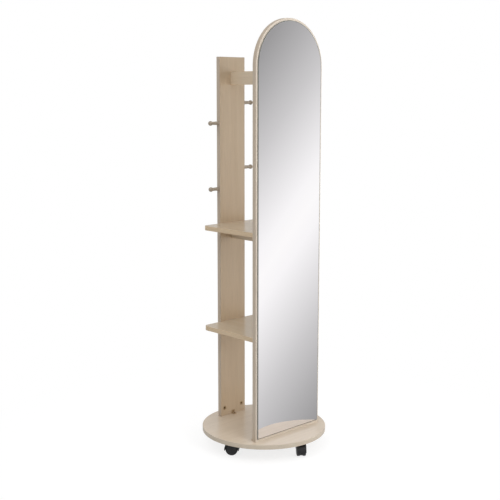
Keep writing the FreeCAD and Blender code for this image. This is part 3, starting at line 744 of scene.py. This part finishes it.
# %% World
BAND_PEAK = -56.23           # slanted degrees at which the surroundings are brightest
BAND_HALF = 26.5             # slanted degrees from the brightest to the middle of the shade
AZIMUTH_SHARE = 1.4722       # what a degree of azimuth counts, so that ten whole bands fit round
BAND_TONES = [(0.0, "#FCFCFB"), (0.06, "#F8F8F8"), (0.12, "#EDEDED"), (0.28, "#CBCBCB"),
              (0.40, "#B2B2B2"), (0.50, "#9C9C9C"), (0.60, "#9C9C9C"), (1.0, "#D2D2D2")]
MATT_LIGHT, SKY_LIGHT = 0.11, 0.70               # at the horizon, and what the zenith adds
BAND_LIGHT, BACK_LIGHT, CEILING_LIGHT = 1.1, 0.65, 1.0
CEILING_FROM, CEILING_TO = 0.12, 0.24            # sines of the height where the panels begin
BACK_BLEND = 0.04                                # half width of the seam towards the back


def studio_world():
    """The surroundings. The bands depend on share * azimuth - height - peak, folded back and
    forth over half a band."""
    world = bpy.data.worlds.new("studio")
    bpy.context.scene.world = world
    world.use_nodes = True
    tree = world.node_tree
    tree.nodes.clear()
    way = add(tree, "SeparateXYZ", {"Vector": add(tree, "TexCoord").outputs["Generated"]}).outputs
    azimuth = add(tree, "Math", {0: way["Y"], 1: way["X"]}, operation="ARCTAN2").outputs[0]
    height = add(tree, "Math", {0: way["Z"]}, operation="ARCSINE").outputs[0]
    slant = -BAND_PEAK
    for angle, share in ((azimuth, AZIMUTH_SHARE), (height, -1.0)):
        slant = add(tree, "Math", {0: angle, 1: math.degrees(share), 2: slant},
                    operation="MULTIPLY_ADD").outputs[0]
    folded = add(tree, "Math", {0: slant, 1: BAND_HALF}, operation="PINGPONG").outputs[0]
    across_band = add(tree, "MapRange", {
        "Value": folded, "From Max": BAND_HALF}).outputs["Result"]
    tone = add(tree, "ValToRGB", {"Fac": across_band}, stops=BAND_TONES).outputs["Color"]
    high_up = add(tree, "MapRange", {
        "Value": way["Z"], "From Min": CEILING_FROM, "From Max": CEILING_TO}).outputs["Result"]
    behind = add(tree, "MapRange", {
        "Value": way["Y"], "From Min": -BACK_BLEND, "From Max": BACK_BLEND}).outputs["Result"]
    overhead = add(tree, "MapRange", {
        "Value": way["Z"], "To Min": MATT_LIGHT,
        "To Max": MATT_LIGHT + SKY_LIGHT}).outputs["Result"]
    bands, ceiling, back, matt, plain_white = [
        add(tree, "Background", {"Color": colour, "Strength": strength}).outputs[0]
        for colour, strength in ((tone, BAND_LIGHT), (WHITE, CEILING_LIGHT), (WHITE, BACK_LIGHT),
                                 (WHITE, overhead), (WHITE, 1.0))]
    ray = add(tree, "LightPath").outputs
    opposite = add(tree, "MixShader", {0: high_up, 1: bands, 2: ceiling}).outputs[0]
    glossy = add(tree, "MixShader", {0: behind, 1: opposite, 2: back}).outputs[0]
    lit = add(tree, "MixShader", {0: ray["Is Glossy Ray"], 1: matt, 2: glossy}).outputs[0]
    all_rays = add(tree, "MixShader", {0: ray["Is Camera Ray"], 1: lit, 2: plain_white})
    add(tree, "OutputWorld", {"Surface": all_rays.outputs[0]})


studio_world()
print("world ready")

# %% [markdown]
# The floor is a wide white sheet. It keeps the soft shadow of the stand, but adds enough of its
# own white for the camera to melt into the background. Glossy rays pass through it, so the mirror
# shows the bands down to the stand's own base.

# %% Floor
FLOOR_HALF = 12.0
SHADOW_FADES, SHADOW_GONE = 0.35, 1.1            # metres from the middle: white sets in, is full
PAPER, SHADED_PAPER = "#D8D8D8", "#898989"       # as the stand sees it; as the camera sees it
PAPER_GLOW = 0.8                                 # the white that the camera sees besides


def floor_sheet():
    """White paper: matt for the light, half glowing for the camera, clear for the mirror."""
    material, tree = new_material("white paper floor")
    place = add(tree, "TexCoord").outputs["Object"]
    distance = add(tree, "VectorMath", {0: place}, operation="LENGTH").outputs["Value"]
    far = add(tree, "MapRange", {
        "Value": distance, "From Min": SHADOW_FADES, "From Max": SHADOW_GONE},
        interpolation_type="SMOOTHSTEP").outputs["Result"]
    paper, shaded = [add(tree, "BsdfDiffuse", {"Color": linear(colour)}).outputs[0]
                     for colour in (PAPER, SHADED_PAPER)]
    glow, white = [add(tree, "Emission", {"Color": WHITE, "Strength": strength}).outputs[0]
                   for strength in (PAPER_GLOW, 1.0)]
    clear = add(tree, "BsdfTransparent").outputs[0]
    ray = add(tree, "LightPath").outputs
    near = add(tree, "AddShader", {0: shaded, 1: glow}).outputs[0]
    seen = add(tree, "MixShader", {0: far, 1: near, 2: white}).outputs[0]
    matt = add(tree, "MixShader", {0: ray["Is Camera Ray"], 1: paper, 2: seen}).outputs[0]
    both = add(tree, "MixShader", {0: ray["Is Glossy Ray"], 1: matt, 2: clear})
    add(tree, "OutputMaterial", {"Surface": both.outputs[0]})
    mesh = bpy.data.meshes.new("floor")
    corners = [(x * FLOOR_HALF, y * FLOOR_HALF, 0.0)
               for x, y in ((-1, -1), (1, -1), (1, 1), (-1, 1))]
    mesh.from_pydata(corners, [], [(0, 1, 2, 3)])
    mesh.materials.append(material)
    sheet = bpy.data.objects.new("floor", mesh)
    bpy.context.scene.collection.objects.link(sheet)


floor_sheet()
print("floor ready")

# %% [markdown]
# Most of the light is even and comes from above. Four soft lamps help it: one high on the left,
# one low on the right, which reaches under the shelves, one before the mirror, which lights the
# base but leaves the post in the panel's shade, and one behind, for whoever walks round. None of
# them shows in the mirror.

# %% Lamps
def soft_lamp(name, place, target, size, watts):
    """A square area lamp pointed from its place at a target."""
    data = bpy.data.lights.new(name, "AREA")
    data.size, data.energy = size, watts
    lamp = bpy.data.objects.new(name, data)
    x, y, z = np.array(target) - np.array(place)
    lamp.location = place
    lamp.rotation_euler = (math.atan2(math.hypot(x, y), -z), 0.0, math.atan2(-x, y))
    lamp.visible_glossy = False
    bpy.context.scene.collection.objects.link(lamp)


LAMPS = {                    # place, target, side in metres, watts
    "left lamp": ((-2.23, -0.39, 2.96), (0, 0, 0.7), 2.0, 24),
    "right lamp": ((2.60, -1.87, 0.75), (0, 0, 0.5), 2.0, 32),
    "front lamp": ((-0.2, -1.9, 1.5), (0, -0.12, 0.6), 1.0, 17),
    "back lamp": ((0.6, 3.0, 1.2), (0, 0, 0.7), 2.0, 22),
}
for name, settings in LAMPS.items():
    soft_lamp(name, *settings)
print(len(LAMPS), "lamps ready")

# %% [markdown]
# ## View
#
# The Standard view shows a colour as it was written, where the other views would bend its
# contrast. No finish may make the stand larger.

# %% Finish
scene = bpy.context.scene
scene.view_settings.view_transform = "Standard"
